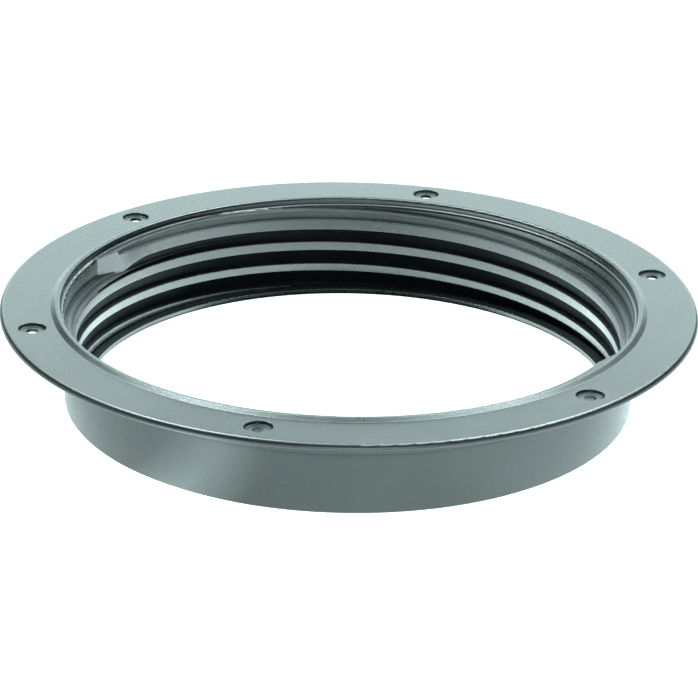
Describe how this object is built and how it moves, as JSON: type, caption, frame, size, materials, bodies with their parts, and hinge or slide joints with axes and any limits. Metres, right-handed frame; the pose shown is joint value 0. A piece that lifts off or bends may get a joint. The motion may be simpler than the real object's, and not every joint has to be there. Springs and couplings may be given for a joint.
{
  "type": "toilet flange",
  "caption": "Black plastic toilet flange: a thin round plate with recessed screw holes and a short collar with a coarse internal thread.",
  "frame": {"origin": "centre of the ring, on the plane of the collar's bottom edge", "axes": "+Z along the ring's axis, from the collar up to the plate's top face; +X and +Y across the ring"},
  "size_m": [0.1778, 0.1778, 0.0261],
  "materials": {
    "black_plastic": "satin"
  },
  "bodies": {
    "root": {"threaded_flange": "black_plastic"}
  },
  "joints": []
}
